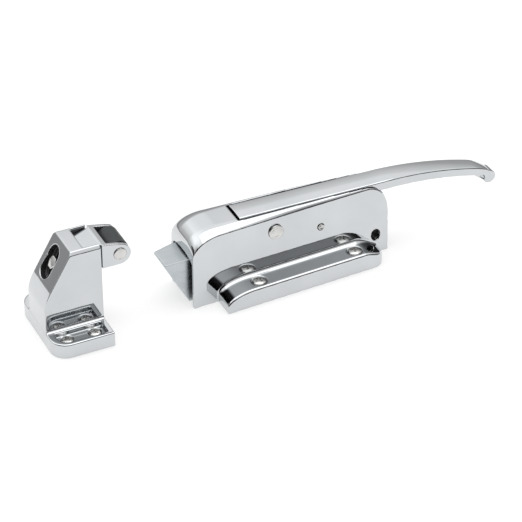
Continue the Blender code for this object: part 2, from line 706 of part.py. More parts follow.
def strike_flange():
    """Base with two flanges, its back corners well rounded in plan."""
    r = 13.0
    y = STRIKE_FLANGE_HALF
    x0, x1 = STRIKE_X0 - 0.6 + STRIKE_X, STRIKE_X1 + STRIKE_X
    plan = [(x1, -y), (x1, y)] + arc(x0 + r, y - r, r, r, 90, 180, 7) + arc(x0 + r, r - y, r, r, 180, 270, 7)
    top = STRIKE_FLANGE_TOP
    full = [(px, py, 0.0) for px, py in plan]
    rings = [full, [(px, py, top - 1.4) for px, py in plan]]
    for rise, draw in ((0.55, 0.25), (1.0, 0.6), (1.4, 1.4)):
        rings.append([(px + draw * (0.0 if px > x1 - 0.1 else (x0 + 20 - px) / 20.0),
                       py - draw * py / y, top - 1.4 + rise) for px, py in plan])
    return loft(rings)


def strike_channel(side):
    """Recess along a flange that the screw heads sit in."""
    x0, x1 = STRIKE_X0 + 5.0 + STRIKE_X, STRIKE_X1 - 4.2 + STRIKE_X
    y0, y1 = STRIKE_HALF + STRIKE_RIM, STRIKE_FLANGE_HALF - STRIKE_RIM
    r = 9.0
    plan = [(x1, y0), (x1, y1)] + arc(x0 + r, y1 - r, r, r, 90, 180, 6) + [(x0, y0)]
    return loft([[(px, side * py, z) for px, py in plan]
                 for z in (STRIKE_FLANGE_TOP - 3.6, STRIKE_FLANGE_TOP + 6.0)])


def slot_frame():
    """Centre of the slot on the slanted back, its length and its normal."""
    along = slant_vector()
    centre = Vector((SLANT_FOOT[0] + STRIKE_X, SLOT_Y, SLANT_FOOT[1])) + along * SLOT_UP
    return centre, along, Vector((-along.z, 0, along.x))


def slot_prism(half_long, half_wide, outside, depth):
    """Round-ended slot cut square into the slanted back."""
    centre, along, normal = slot_frame()
    outline = arc(half_long - half_wide, 0, half_wide, half_wide, -90, 90, 10)
    outline += arc(half_wide - half_long, 0, half_wide, half_wide, 90, 270, 10)
    return loft([[centre + along * a + Vector((0, b, 0)) + normal * level for a, b in outline]
                 for level in (outside, -depth)])


def strike_housing():
    body = prism(strike_outline(), -STRIKE_HALF, STRIKE_HALF)
    obj = finish_mesh("strike_housing", body, CHROME, 28.0)
    hollow = prism(hollow_outline(), STRIKE_WALL - STRIKE_HALF, STRIKE_HALF - STRIKE_WALL)
    edges = []
    for side in (-1, 1):
        y = side * STRIKE_HALF
        x0, x1 = SLANT_HEAD[0] - 6.0 + STRIKE_X, STRIKE_X1 + 2.0 + STRIKE_X
        edges.append(loft([[(x, y + side, STRIKE_TOP - 3.4), (x, y + side, STRIKE_TOP + 1.0),
                            (x, y - side * 3.2, STRIKE_TOP + 1.0)] for x in (x0, x1)]))
    steps = [("strike_base", strike_flange(), "UNION"),
             ("strike_hollow", hollow, "DIFFERENCE"),
             ("strike_slot", slot_prism(SLOT_LONG / 2, SLOT_HALF, 3.0, SLOT_DEPTH), "DIFFERENCE"),
             ("strike_inner_slot", slot_prism(SLOT_INNER_LONG / 2, SLOT_INNER_HALF, -3.0, 14.0),
              "DIFFERENCE"),
             ("strike_top_edges", join(*edges), "DIFFERENCE"),
             ("strike_channels", join(strike_channel(-1), strike_channel(1)), "DIFFERENCE"),
             ("strike_screws", countersinks(strike_points(), STRIKE_FLANGE_TOP - 3.6, 2.7, 5.35),
              "DIFFERENCE")]
    for name, bm, operation in steps:
        combine(obj, cutter(name, bm), operation)
    return obj


def slant_x(z, depth):
    """X of the plane that lies depth behind the slanted back, at height z."""
    along = slant_vector()
    return SLANT_FOOT[0] + STRIKE_X + depth / along.z + (z - SLANT_FOOT[1]) * along.x / along.z


def hollow_outline():
    """Inside of the strike: open to the latch, to the top and underneath."""
    left, right = STRIKE_X0 + STRIKE_WALL + STRIKE_X, STRIKE_X1 + 4.0 + STRIKE_X
    top = STRIKE_TOP + 4.0
    along = slant_vector()
    foot = SLANT_FOOT[1] - (slant_x(SLANT_FOOT[1], SLANT_WALL) - left) * along.z / along.x
    return [(left, -2.0), (right, -2.0), (right, top), (slant_x(top, SLANT_WALL), top), (left, foot)]


def roller_bracket():
    """Clevis for the roller, with a stem that slides behind the slanted back."""
    px, pz = ROLLER[0] + STRIKE_X, ROLLER[1]
    shoulder_x = STRIKE_X1 + STRIKE_X + EAR_GAP
    low, top = EAR_LOW, EAR_TOP
    ear = [(shoulder_x, low), (px, low)] + arc(px, low + EAR_R, EAR_R, EAR_R, -70, 60, 9)
    ear += [(px - 1.0, top - 2.6), (shoulder_x, top)]
    obj = finish_mesh("roller_bracket", prism(ear, -EAR_HALF, EAR_HALF), CHROME, 30.0)
    stem_half = STRIKE_HALF - STRIKE_WALL - STEM_GAP
    stem_top, stem_back, heel = top - 0.3, top - 3.8, 50.0
    face = SLANT_WALL + STEM_GAP
    stem = prism([(slant_x(heel, face), heel), (shoulder_x + 1.0, low + 1.2), (shoulder_x + 1.0, stem_top),
                  (slant_x(stem_back, face), stem_back)], -stem_half, stem_half)
    window = slab(px - EAR_R - 1.0, px + 20.0, -EAR_INNER, EAR_INNER, low - 2.0, top + 2.0)
    bore = turned([(0, -20.0), (ROLLER_PIN_R + GAP, -20.0), (ROLLER_PIN_R + GAP, 20.0), (0, 20.0)], 24,
                  along_y(px, 0, pz))
    reach = SLOT_DEPTH + CLAMP_LONG + 1.0
    thread = turned([(0, face - 1.0), (CLAMP_SHANK_R + GAP, face - 1.0), (CLAMP_SHANK_R + GAP, reach),
                     (0, reach)], 24, clamp_place())
    steps = [("bracket_stem", stem, "UNION"), ("bracket_window", window, "DIFFERENCE"),
             ("bracket_bore", bore, "DIFFERENCE"), ("bracket_thread", thread, "DIFFERENCE")]
    for name, bm, operation in steps:
        combine(obj, cutter(name, bm), operation)
    return obj


def clamp_place():
    """Placement of the adjusting screw: +Z runs from the slot into the stem."""
    centre, _, normal = slot_frame()
    return Matrix.Translation(centre) @ (-normal).to_track_quat("Z", "Y").to_matrix().to_4x4()


def adjusting_screw():
    """Hexagon-head screw that clamps the stem, its head sunk in the slot."""
    under = SLOT_DEPTH - GAP
    outer = under - CLAMP_HEAD_T
    head = turned([(0, outer), (CLAMP_HEAD_R - 0.6, outer), (CLAMP_HEAD_R, outer + 0.5),
                   (CLAMP_HEAD_R, under), (0, under)], 6, clamp_place())
    obj = finish_mesh("adjusting_screw", head, STEEL, 20.0)
    shank = turned([(0, under - 1.0), (CLAMP_SHANK_R, under - 1.0), (CLAMP_SHANK_R, under + CLAMP_LONG),
                    (0, under + CLAMP_LONG)], 24, clamp_place())
    combine(obj, cutter("screw_shank", shank), "UNION")


def roller_parts():
    px, pz = ROLLER[0] + STRIKE_X, ROLLER[1]
    pin = turned([(0, -EAR_HALF - 0.9), (3.9, -EAR_HALF - 0.9), (4.9, -EAR_HALF - GAP),
                  (ROLLER_PIN_R, -EAR_HALF - GAP), (ROLLER_PIN_R, EAR_HALF + GAP),
                  (4.9, EAR_HALF + GAP), (3.9, EAR_HALF + 0.9), (0, EAR_HALF + 0.9)],
                 28, along_y(px, 0, pz))
    finish_mesh("roller_pin", pin, STEEL)
    sleeve = ring_solid(ROLLER_R, ROLLER_PIN_R + GAP, -ROLLER_HALF, ROLLER_HALF, 40, along_y(px, 0, pz))
    roller = finish_mesh("strike_roller", sleeve, NYLON_BLACK, 40.0)
    move_origin(roller, px, 0, pz)


latch_housing()
lever_handle()
pins()
latch_bolt()
bolt_spring()
spring_parts()
base_plate()
mounting_screws()
strike_housing()
roller_bracket()
adjusting_screw()
roller_parts()
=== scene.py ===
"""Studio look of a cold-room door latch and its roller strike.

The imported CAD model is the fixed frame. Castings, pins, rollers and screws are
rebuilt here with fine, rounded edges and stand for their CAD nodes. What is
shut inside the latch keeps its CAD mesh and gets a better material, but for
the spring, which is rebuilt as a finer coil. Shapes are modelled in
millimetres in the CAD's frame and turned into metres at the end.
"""
import math

import bmesh
import bpy
from mathutils import Matrix, Vector


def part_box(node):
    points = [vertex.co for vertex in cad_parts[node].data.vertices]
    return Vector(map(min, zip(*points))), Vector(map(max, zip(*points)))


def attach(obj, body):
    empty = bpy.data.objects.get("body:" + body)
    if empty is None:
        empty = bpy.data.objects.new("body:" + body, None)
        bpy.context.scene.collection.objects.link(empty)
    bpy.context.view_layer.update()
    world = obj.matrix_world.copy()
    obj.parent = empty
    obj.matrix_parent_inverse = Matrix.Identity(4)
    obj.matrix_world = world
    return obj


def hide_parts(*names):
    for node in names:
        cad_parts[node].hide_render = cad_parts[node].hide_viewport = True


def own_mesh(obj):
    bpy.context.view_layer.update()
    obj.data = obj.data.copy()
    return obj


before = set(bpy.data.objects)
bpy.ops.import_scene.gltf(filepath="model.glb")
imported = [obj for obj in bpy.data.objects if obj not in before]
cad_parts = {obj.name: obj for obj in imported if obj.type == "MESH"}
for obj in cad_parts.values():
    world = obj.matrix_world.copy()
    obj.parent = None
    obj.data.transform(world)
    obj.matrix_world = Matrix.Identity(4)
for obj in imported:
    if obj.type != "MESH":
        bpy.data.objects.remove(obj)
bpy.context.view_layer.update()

MM = 0.001
GAP = 0.3


def node_box(node):
    """A CAD node's lowest and highest corners in millimetres."""
    low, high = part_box(node)
    return low / MM, high / MM


BODY_LOW, BODY_HIGH = node_box("latch_housing")
STRIKE_LOW, STRIKE_HIGH = node_box("strike_housing")
BODY_X0, BODY_X1 = BODY_LOW.x, BODY_HIGH.x

# ---- latch housing --------------------------------------------------------
TAPER = math.tan(math.radians(2.7))  # each side draws in towards the lever end
BODY_HALF_WIDE = 20.15
WALL = 3.0
DRAFT_Z = 28.0  # height at which the leaning walls have the CAD's width
DRAFT, DRAFT_MORE = 1.2, 1.3  # their lean in degrees at the bolt end, and what the lever end adds
SIDE_TOP = 57.6
CROWN_LEFT, CROWN_RIGHT = 61.8, 59.4
NOSE_RX, NOSE_DROP = 23.0, 12.6
SIDE_DROP_RATIO, TOP_DROP_RATIO = 1.2, 1.09  # over the nose the sides fall further than the top
TAIL_RX, TAIL_RZ = 18.5, 23.0
MOUTH_SIDE, MOUTH_TOP = 36.4, 41.3  # springing line and top of the bolt's arch
SLOT_X0, SLOT_GAP, SLOT_FLOOR = -42.0, 1.3, 50.6
SIDE_HOLE = (71.8, 15.8, 3.9, 4.9)
FLANGE_X0, FLANGE_X1 = -62.7, 72.0
FLANGE_WIDE, FLANGE_TOP = 18.6, 14.9
FLANGE_RISE, FLANGE_FALL = 23.0, 18.0
FLANGE_END_DROP = 7.4
FLANGE_CORNER_R = 10.0
COVE_R = 4.5
SCREW_X, SCREW_Y = (-33.0, 48.3), 9.6
SCREW_SHANK, SCREW_HEAD = 2.5, 5.6
SCREW_HOLE, SCREW_SINK = 2.9, 6.2  # hole and top of the countersink

# ---- lever, bolt and pins -------------------------------------------------
PIVOT = (-14.0, 46.2)
PIVOT_R = 4.0
LEVER_X0 = -40.2
LEVER_HALF, LEVER_DEEP = 9.9, 7.5
DROOP_X0, CURL_X0 = 82.0, 160.0  # where the lever starts to droop, and to curl
ARM_LENGTH, ARM_TIP_R = 32.0, 3.5
BEAD, BEAD_R, BEAD_HALF = (174.9, 34.3), 5.3, 5.0
STOP = (24.3, 38.1)
STOP_R = 2.4
BOLT_NOSE, BOLT_TOP, BOLT_FLOOR, BOLT_HALF = -101.8, 39.3, 1.9, 12.5
BOLT_BACK = -46.0
TAIL_END, TAIL_HALF, TAIL_TOP = -4.6, 7.5, 20.0
POCKET_X, POCKET_HALF = (-20.4, -9.8), 3.9
SPRING_Z, SPRING_R, SPRING_WIRE, SPRING_TURNS = 12.0, 5.2, 0.65, 9

# ---- strike ---------------------------------------------------------------
STRIKE_WALL = 3.6
STRIKE_HALF = 16.4
STRIKE_FRONT = -152.2
STRIKE_BACK = STRIKE_LOW.x + 0.6
STRIKE_FLANGE_TOP = 12.0
CHANNEL_DEPTH, RIM = 3.6, 3.4
FOOT, HEAD = (-196.0, 39.0), (-174.9, 75.0)  # ends of the slanted back
SLANT_WALL = 9.0
SLOT_UP, SLOT_Y, SLOT_DEPTH = 22.6, 3.6, 5.5
SLOT_LONG, SLOT_HALF = 27.0, 7.6
SLOT_INNER_LONG, SLOT_INNER_HALF = 24.0, 3.6
SLANT = Vector((HEAD[0] - FOOT[0], 0, HEAD[1] - FOOT[1])).normalized()
OUTWARD = Vector((-SLANT.z, 0, SLANT.x))
SLOT_CENTRE = Vector((FOOT[0], SLOT_Y, FOOT[1])) + SLANT * SLOT_UP
ROLLER = (-137.2, 62.5)
ROLLER_R, ROLLER_HALF = 8.5, 10.9
ROLLER_PIN_R, ROLLER_PIN_HEAD = 3.2, 4.9
EAR_HALF, EAR_INNER, EAR_R = 14.6, 11.3, 8.5
EAR_LOW, EAR_TOP = 53.4, 73.6
EAR_GAP, STEM_GAP, STEM_HALF, STEM_LOW = 1.3, 0.4, 12.4, 50.0
CLAMP_HEAD_R, CLAMP_HEAD_T, CLAMP_SHANK_R, CLAMP_LONG = 5.2, 3.3, 3.2, 12.0
STRIKE_SCREW_X, STRIKE_SCREW_Y = (-185.0, -163.5), 25.6
STRIKE_SCREW_SHANK, STRIKE_SCREW_HEAD = 2.3, 4.7
STRIKE_SCREW_HOLE, STRIKE_SCREW_SINK = 2.7, 5.35


# ---- modelling helpers ----------------------------------------------------
def arc(cx, cz, rx, rz, start, end, steps):
    """Points of an elliptical arc, angles in degrees."""
    angles = [math.radians(start + (end - start) * i / steps) for i in range(steps + 1)]
    return [(cx + rx * math.cos(a), cz + rz * math.sin(a)) for a in angles]


def loft(rings):
    """Skin closed rings of equal length and cap both ends."""
    bm = bmesh.new()
    loops = [[bm.verts.new(point) for point in ring] for ring in rings]
    count = len(loops[0])
    for near, far in zip(loops, loops[1:]):
        for i in range(count):
            j = (i + 1) % count
            bm.faces.new((near[i], near[j], far[j], far[i]))
    bm.faces.new(loops[0])
    bm.faces.new(loops[-1])
    bmesh.ops.recalc_face_normals(bm, faces=bm.faces)
    return bm


def prism(outline, y0, y1):
    """Extrude an X-Z outline from y0 to y1."""
    return loft([[(x, y, z) for x, z in outline] for y in (y0, y1)])


def slab(x0, x1, y0, y1, z0, z1):
    return prism([(x0, z0), (x1, z0), (x1, z1), (x0, z1)], y0, y1)


def circle(bm, radius, height, segments, count):
    """The first count vertices of a ring about Z; a ring of no radius needs only one."""
    angles = [math.tau * i / segments for i in range(count)]
    return [bm.verts.new((radius * math.cos(a), radius * math.sin(a), height)) for a in angles]


def turned(profile, place, segments=64):
    """Revolve (radius, height) points about Z, then place the result."""
    bm = bmesh.new()
    rings = [circle(bm, radius, height, segments, segments if radius else 1) for radius, height in profile]
    for low, high in zip(rings, rings[1:]):
        for i in range(segments):
            j = (i + 1) % segments
            quad = [low[i % len(low)], low[j % len(low)], high[j % len(high)], high[i % len(high)]]
            bm.faces.new(list(dict.fromkeys(quad)))
    for ring in (rings[0], rings[-1]):
        if len(ring) > 1:
            bm.faces.new(ring)
    bmesh.ops.transform(bm, matrix=place, verts=bm.verts)
    bmesh.ops.recalc_face_normals(bm, faces=bm.faces)
    return bm


def hoop(profile, place, segments=72):
    """Revolve a closed (radius, height) outline that stays clear of the axis."""
    bm = bmesh.new()
    loops = [circle(bm, radius, height, segments, segments) for radius, height in profile]
    for k, near in enumerate(loops):
        far = loops[(k + 1) % len(loops)]
        for i in range(segments):
            j = (i + 1) % segments
            bm.faces.new((near[i], near[j], far[j], far[i]))
    bmesh.ops.transform(bm, matrix=place, verts=bm.verts)
    bmesh.ops.recalc_face_normals(bm, faces=bm.faces)
    return bm


def rod(radius, low, high, place, segments=64):
    return turned([(0, low), (radius, low), (radius, high), (0, high)], place, segments)


def along_y(x, y, z):
    """Turn +Z to -Y, the side that faces the camera, and place it."""
    return Matrix.Translation((x, y, z)) @ Matrix.Rotation(math.radians(90), 4, "X")


def upright(x, y, z):
    return Matrix.Translation((x, y, z))


def scratch(name, bm):
    mesh = bpy.data.meshes.new(name)
    bm.to_mesh(mesh)
    bm.free()
    obj = bpy.data.objects.new(name, mesh)
    bpy.context.scene.collection.objects.link(obj)
    return obj


def bake(obj):
    """Apply an object's whole modifier stack to its mesh."""
    graph = bpy.context.evaluated_depsgraph_get()
    mesh = bpy.data.meshes.new_from_object(obj.evaluated_get(graph))
    obj.modifiers.clear()
    obj.data = mesh


def carve(obj, steps):
    """Fuse or cut each (operation, bmesh) in turn."""
    tools = []
    for operation, bm in steps:
        tool = scratch("tool", bm)
        tool.hide_render = True
        mod = obj.modifiers.new("tool", "BOOLEAN")
        mod.operation = operation
        mod.solver = "MANIFOLD"
        mod.object = tool
        tools.append(tool)
    bpy.context.view_layer.update()
    bake(obj)
    for tool in tools:
        bpy.data.objects.remove(tool, do_unlink=True)


def soften(obj, voxel, passes):
    """Round every edge a little, as on a polished casting, and keep flats flat."""
    remesh = obj.modifiers.new("remesh", "REMESH")
    remesh.mode = "VOXEL"
    remesh.voxel_size = voxel
    smooth = obj.modifiers.new("smooth", "SMOOTH")
    smooth.factor = 0.5
    smooth.iterations = passes
    thin = obj.modifiers.new("thin", "DECIMATE")
    thin.ratio = 0.3
    bake(obj)


def finish(name, obj, body, mat, node):
    """Turn millimetres into metres, shade, and hand the piece to the frame."""
    obj.name = name
    obj.data.name = name
    obj.data.transform(Matrix.Scale(MM, 4))
    obj.data.shade_smooth()
    obj.data.materials.clear()
    obj.data.materials.append(mat)
    weighted = obj.modifiers.new("weighted_normals", "WEIGHTED_NORMAL")
    weighted.weight = 80
    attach(obj, body)
    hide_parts(node)
    return obj


# ---- materials ------------------------------------------------------------
def add(tree, kind, **values):
    """New node with these settings, or input values where it has no such setting."""
    node = tree.nodes.new(kind)
    for name, value in values.items():
        if hasattr(node, name):
            setattr(node, name, value)
        else:
            node.inputs[name.replace("_", " ")].default_value = value
    return node


def ramp(tree, source, stops):
    """Colour ramp through (place, grey or colour) stops."""
    node = tree.nodes.new("ShaderNodeValToRGB")
    points = node.color_ramp.elements
    while len(points) < len(stops):
        points.new(0.5)
    for point, (place, colour) in zip(points, stops):
        point.position = place
        point.color = (*colour, 1.0) if isinstance(colour, tuple) else (colour, colour, colour, 1.0)
    tree.links.new(source, node.inputs["Fac"])
    return node.outputs["Color"]


def noise(tree, scale, detail=3.0, stretch=(1, 1, 1)):
    """Noise in object space, scale in cycles per metre."""
    place = tree.nodes.new("ShaderNodeTexCoord")
    mapping = tree.nodes.new("ShaderNodeMapping")
    mapping.inputs["Scale"].default_value = stretch
    tree.links.new(place.outputs["Object"], mapping.inputs["Vector"])
    node = add(tree, "ShaderNodeTexNoise", Scale=scale, Detail=detail)
    tree.links.new(mapping.outputs["Vector"], node.inputs["Vector"])
    return node.outputs["Fac"]


def surface(name, metallic):
    mat = bpy.data.materials.new(name)
    mat.use_nodes = True
    shader = mat.node_tree.nodes["Principled BSDF"]
    shader.inputs["Metallic"].default_value = metallic
    return mat, mat.node_tree, shader


def multiply(tree, first, second):
    node = add(tree, "ShaderNodeMix", data_type="RGBA", blend_type="MULTIPLY")
    node.inputs["Factor"].default_value = 1.0
    tree.links.new(first, node.inputs[6])
    tree.links.new(second, node.inputs[7])
    return node.outputs[2]


def vary(tree, shader, socket, texture, stops):
    """Drive one of the shader's inputs by a texture mapped to these stops."""
    tree.links.new(ramp(tree, texture, stops), shader.inputs[socket])


def bump(tree, shader, height, strength, distance):
    node = add(tree, "ShaderNodeBump", Strength=strength, Distance=distance)
    tree.links.new(height, node.inputs["Height"])
    tree.links.new(node.outputs["Normal"], shader.inputs["Normal"])


def chrome(name):
    """Chrome over a polished casting: faint buffing haze and a slight ripple."""
    mat, tree, shader = surface(name, 1.0)
    vary(tree, shader, "Base Color", noise(tree, 22.0),
         [(0.3, (0.565, 0.582, 0.595)), (0.7, (0.62, 0.637, 0.65))])
    vary(tree, shader, "Roughness", noise(tree, 60.0, 4.0), [(0.35, 0.035), (0.75, 0.075)])
    bump(tree, shader, noise(tree, 90.0, 2.0), 0.10, 0.0002)
    return mat


def calc(tree, operation, *values):
    """A Math node's result; a float is set on its socket, anything else is linked."""
    node = add(tree, "ShaderNodeMath", operation=operation)
    for value, socket in zip(values, node.inputs):
        if isinstance(value, float):
            socket.default_value = value
        else:
            tree.links.new(value, socket)
    return node.outputs["Value"]


def all_of(tree, conditions):
    """1 where every (operation, value, limit) holds."""
    mask = 1.0
    for operation, value, limit in conditions:
        mask = calc(tree, "MULTIPLY", mask, calc(tree, operation, value, limit))
    return mask


def housing_inside(tree, x, y, z):
    """1 within the latch's hollow, between its walls and under its rounded ends."""
    side = calc(tree, "MULTIPLY_ADD", x, -TAPER, (BODY_HALF_WIDE - 2.2 + TAPER * BODY_X0) * MM)
    nose = calc(tree, "MULTIPLY_ADD", x, 1.1, (46.0 - 1.1 * BODY_X0) * MM)
    tail = calc(tree, "MULTIPLY_ADD", x, -1.2, (34.0 + 1.2 * (BODY_X1 - WALL)) * MM)
    return all_of(tree, [("LESS_THAN", calc(tree, "ABSOLUTE", y), side), ("LESS_THAN", z, nose),
                         ("LESS_THAN", z, tail), ("LESS_THAN", z, 55.5 * MM),
                         ("GREATER_THAN", x, (BODY_X0 + 1.5) * MM)])


def strike_inside(tree, x, y, z):
    """1 within the strike's hollow and below the surface of its slanted back."""
    depth = calc(tree, "MULTIPLY_ADD", x, -OUTWARD.x, SLOT_CENTRE.dot(OUTWARD) * MM)
    depth = calc(tree, "MULTIPLY_ADD", z, -OUTWARD.z, depth)
    return all_of(tree, [("LESS_THAN", calc(tree, "ABSOLUTE", y), (STRIKE_HALF - 1.5) * MM),
                         ("LESS_THAN", z, (HEAD[1] - 1.5) * MM), ("GREATER_THAN", depth, 1.2 * MM),
                         ("GREATER_THAN", x, (STRIKE_LOW.x + 2.2) * MM),
                         ("LESS_THAN", x, (STRIKE_FRONT - 1.0) * MM)])


def chrome_shaded_inside(name, inside_of):
    """Chrome whose inside faces get a near-black base colour as painted shade in the hollow, and a rougher
    finish.
    """
    mat = chrome(name)
    tree = mat.node_tree
    shader = tree.nodes["Principled BSDF"]
    place = tree.nodes.new("ShaderNodeTexCoord")
    split = tree.nodes.new("ShaderNodeSeparateXYZ")
    tree.links.new(place.outputs["Object"], split.inputs["Vector"])
    inside = inside_of(tree, split.outputs["X"], split.outputs["Y"], split.outputs["Z"])
    plated = shader.inputs["Base Color"].links[0].from_socket
    # painted shade: a near-black colour mixed in over the hollow's inside faces
    inside_shade = add(tree, "ShaderNodeMix", data_type="RGBA")
    tree.links.new(inside, inside_shade.inputs["Factor"])
    tree.links.new(plated, inside_shade.inputs[6])
    inside_shade.inputs[7].default_value = (0.10, 0.10, 0.105, 1.0)
    tree.links.new(inside_shade.outputs[2], shader.inputs["Base Color"])
    polish = shader.inputs["Roughness"].links[0].from_socket
    dull = calc(tree, "MAXIMUM", polish, calc(tree, "MULTIPLY", inside, 0.5))
    tree.links.new(dull, shader.inputs["Roughness"])
    return mat


def zinc():
    """Bluish zinc plating with a drawn grain along the bolt."""
    mat, tree, shader = surface("zinc_plate", 1.0)
    vary(tree, shader, "Base Color", noise(tree, 55.0, 5.0),
         [(0.3, (0.45, 0.485, 0.505)), (0.7, (0.53, 0.565, 0.58))])
    vary(tree, shader, "Roughness", noise(tree, 180.0, 4.0, (0.15, 1, 1)), [(0.3, 0.22), (0.7, 0.36)])
    bump(tree, shader, noise(tree, 900.0, 3.0, (0.08, 1, 1)), 0.18, 0.0001)
    return mat


def steel(name, colour, low, high):
    """Bright plated steel with fine handling marks."""
    mat, tree, shader = surface(name, 1.0)
    darker = tuple(0.82 * c for c in colour)
    vary(tree, shader, "Base Color", noise(tree, 120.0, 4.0), [(0.35, darker), (0.65, colour)])
    vary(tree, shader, "Roughness", noise(tree, 260.0, 5.0), [(0.3, low), (0.7, high)])
    bump(tree, shader, noise(tree, 700.0, 3.0), 0.12, 0.0001)
    return mat


def nylon(name, dark, light):
    """Moulded nylon: satin, with a fine grain."""
    mat, tree, shader = surface(name, 0.0)
    vary(tree, shader, "Base Color", noise(tree, 140.0, 4.0), [(0.3, dark), (0.7, light)])
    vary(tree, shader, "Roughness", noise(tree, 300.0, 3.0), [(0.3, 0.38), (0.7, 0.52)])
    bump(tree, shader, noise(tree, 1500.0, 2.0), 0.2, 0.0001)
    return mat


CHROME = chrome("chrome_plate")
# chrome for the housing and strike, with painted shade on their inside faces
HOUSING = chrome_shaded_inside("chrome_housing", housing_inside)
STRIKE = chrome_shaded_inside("chrome_strike", strike_inside)
ZINC = zinc()
STEEL = steel("plated_steel", (0.66, 0.655, 0.64), 0.12, 0.24)
PLATE_STEEL = steel("sheet_steel", (0.56, 0.56, 0.55), 0.28, 0.42)
SPRING_STEEL = steel("spring_wire", (0.36, 0.36, 0.37), 0.25, 0.4)
BLACK_NYLON = nylon("black_nylon", (0.020, 0.025, 0.025), (0.030, 0.036, 0.036))
WHITE_NYLON = nylon("white_nylon", (0.72, 0.71, 0.66), (0.80, 0.79, 0.75))


# ---- latch housing --------------------------------------------------------
def half_width(x):
    return BODY_HALF_WIDE - TAPER * (x - BODY_X0)


def along(x):
    """0 at the bolt end of the body, 1 at the lever end."""
    return (x - BODY_X0) / (BODY_X1 - BODY_X0)


def draft(x):
    """Slope at which the side walls lean in, as a casting's do."""
    return math.tan(math.radians(DRAFT + DRAFT_MORE * along(x)))


def wall_y(x, z):
    """Half the body's width at height z, with the walls' lean."""
    return half_width(x) - draft(x) * (z - DRAFT_Z)


def crown(x):
    return CROWN_LEFT + (CROWN_RIGHT - CROWN_LEFT) * along(x)


def end_drops(x, inset):
    """How far the side's top edge and the crown fall near either end."""
    nose_end, tail_start = BODY_X0 + NOSE_RX, BODY_X1 - TAIL_RX
    if x < nose_end:
        share = min(1.0, (nose_end - x) / (NOSE_RX - inset))
        drop = NOSE_DROP * (1.0 - math.sqrt(1.0 - share * share))
        return SIDE_DROP_RATIO * drop, TOP_DROP_RATIO * drop
    if x > tail_start:
        share = min(1.0, (x - tail_start) / (TAIL_RX - inset))
        drop = (TAIL_RZ - inset) * (1.0 - math.sqrt(1.0 - share * share))
        return drop, drop
    return 0.0, 0.0


def shoulder(x):
    """Width of the sloping band between side wall and top: wide over the nose."""
    share = max(0.0, min(1.0, (20.0 - x) / (20.0 - BODY_X0)))
    return 2.6 + 9.4 * share ** 1.6


def body_ring(x, inset=0.0, floor=0.0):
    half = half_width(x) - inset
    side_drop, top_drop = end_drops(x, inset)
    side = SIDE_TOP - side_drop - inset * 0.6
    top = crown(x) - top_drop - inset
    wide = max(1.2, shoulder(x) - inset * 0.7)
    first, last = math.radians(34), math.radians(76)
    ring = [(half + draft(x) * (DRAFT_Z - floor), floor)]
    half -= draft(x) * (side - DRAFT_Z)
    ring.append((half, side))
    steps = 8
    for k in range(1, steps + 1):
        a = first + (last - first) * k / steps
        inward = (math.cos(first) - math.cos(a)) / (math.cos(first) - math.cos(last))
        upward = (math.sin(a) - math.sin(first)) / (math.sin(last) - math.sin(first))
        ring.append((half - wide * inward, side + (top - side) * upward))
    return [(x, y, z) for y, z in ring + [(-y, z) for y, z in reversed(ring)]]


def stations(inset):
    """X positions along the body, close together round its two ends."""
    nose = [BODY_X0 + NOSE_RX - (NOSE_RX - inset) * math.sin(math.radians(a)) for a in range(90, 0, -3)]
    middle = [BODY_X0 + NOSE_RX + (BODY_X1 - TAIL_RX - BODY_X0 - NOSE_RX) * i / 12 for i in range(13)]
    tail = [BODY_X1 - TAIL_RX + (TAIL_RX - inset) * math.sin(math.radians(a)) for a in range(3, 91, 3)]
    return nose + middle + tail


def mouth():
    """Arched opening for the bolt in the bolt end."""
    half = half_width(BODY_X0) - WALL
    outline = [(half, -2.0)] + arc(0, MOUTH_SIDE, half, MOUTH_TOP - MOUTH_SIDE, 0, 180, 40) + [(-half, -2.0)]
    return loft([[(x, y, z) for y, z in outline] for x in (BODY_X0 - 3.0, BODY_X0 + WALL + 6.0)])


def flange_fall(x):
    return max(0.0, (x - FLANGE_X1 + FLANGE_FALL) / FLANGE_FALL)


def flange_height(x):
    rise = FLANGE_X0 + FLANGE_RISE
    if x >= rise:
        return FLANGE_TOP - FLANGE_END_DROP * flange_fall(x) ** 1.6
    share = (rise - x) / FLANGE_RISE
    return 5.5 + (FLANGE_TOP - 5.5) * math.sqrt(1.0 - share * share)


def flange(side):
    """Mounting flange with a rounded rise, a coved foot and a round end."""
    corner = FLANGE_X1 - FLANGE_CORNER_R
    xs = [FLANGE_X0 + FLANGE_RISE * (1 - math.sin(math.radians(a))) for a in range(90, 0, -3)]
    xs += [FLANGE_X0 + FLANGE_RISE + (corner - FLANGE_X0 - FLANGE_RISE) * i / 40 for i in range(41)]
    xs += [corner + FLANGE_CORNER_R * math.sin(math.radians(a)) for a in range(5, 91, 5)]
    rings = []
    for x in xs:
        root = half_width(x)
        share = max(0.0, (x - corner) / FLANGE_CORNER_R)
        edge = root + FLANGE_WIDE - FLANGE_CORNER_R * (1.0 - math.sqrt(max(0.0, 1.0 - share * share)))
        top = flange_height(x)
        round_r = min(2.0, top * 0.3)
        cove = COVE_R * (1.0 - 0.75 * min(1.0, flange_fall(x)))
        ring = [(root - 1.2, 0.0), (edge, 0.0)]
        ring += arc(edge - round_r, top - round_r, round_r, round_r, 0, 90, 8)
        ring += arc(root + cove, top + cove, cove, cove, 270, 184, 14)
        ring += [(root - 1.2, top + cove)]
        rings.append([(x, side * y, z) for y, z in ring])
    return loft(rings)


def latch_points():
    """Centres of the latch's screws, with the top of the metal there."""
    return [(x, side * (half_width(x) + SCREW_Y), FLANGE_TOP) for x in SCREW_X for side in (-1, 1)]


def countersink(x, y, top, shank, head):
    """Cutter for a screw's hole, countersunk, with room above for the tool."""
    return turned([(0, -1.0), (shank, -1.0), (shank, top - head + shank), (head, top),
                   (head + 0.5, top + 0.6), (head + 0.5, top + 8.0), (0, top + 8.0)], upright(x, y, 0.0))


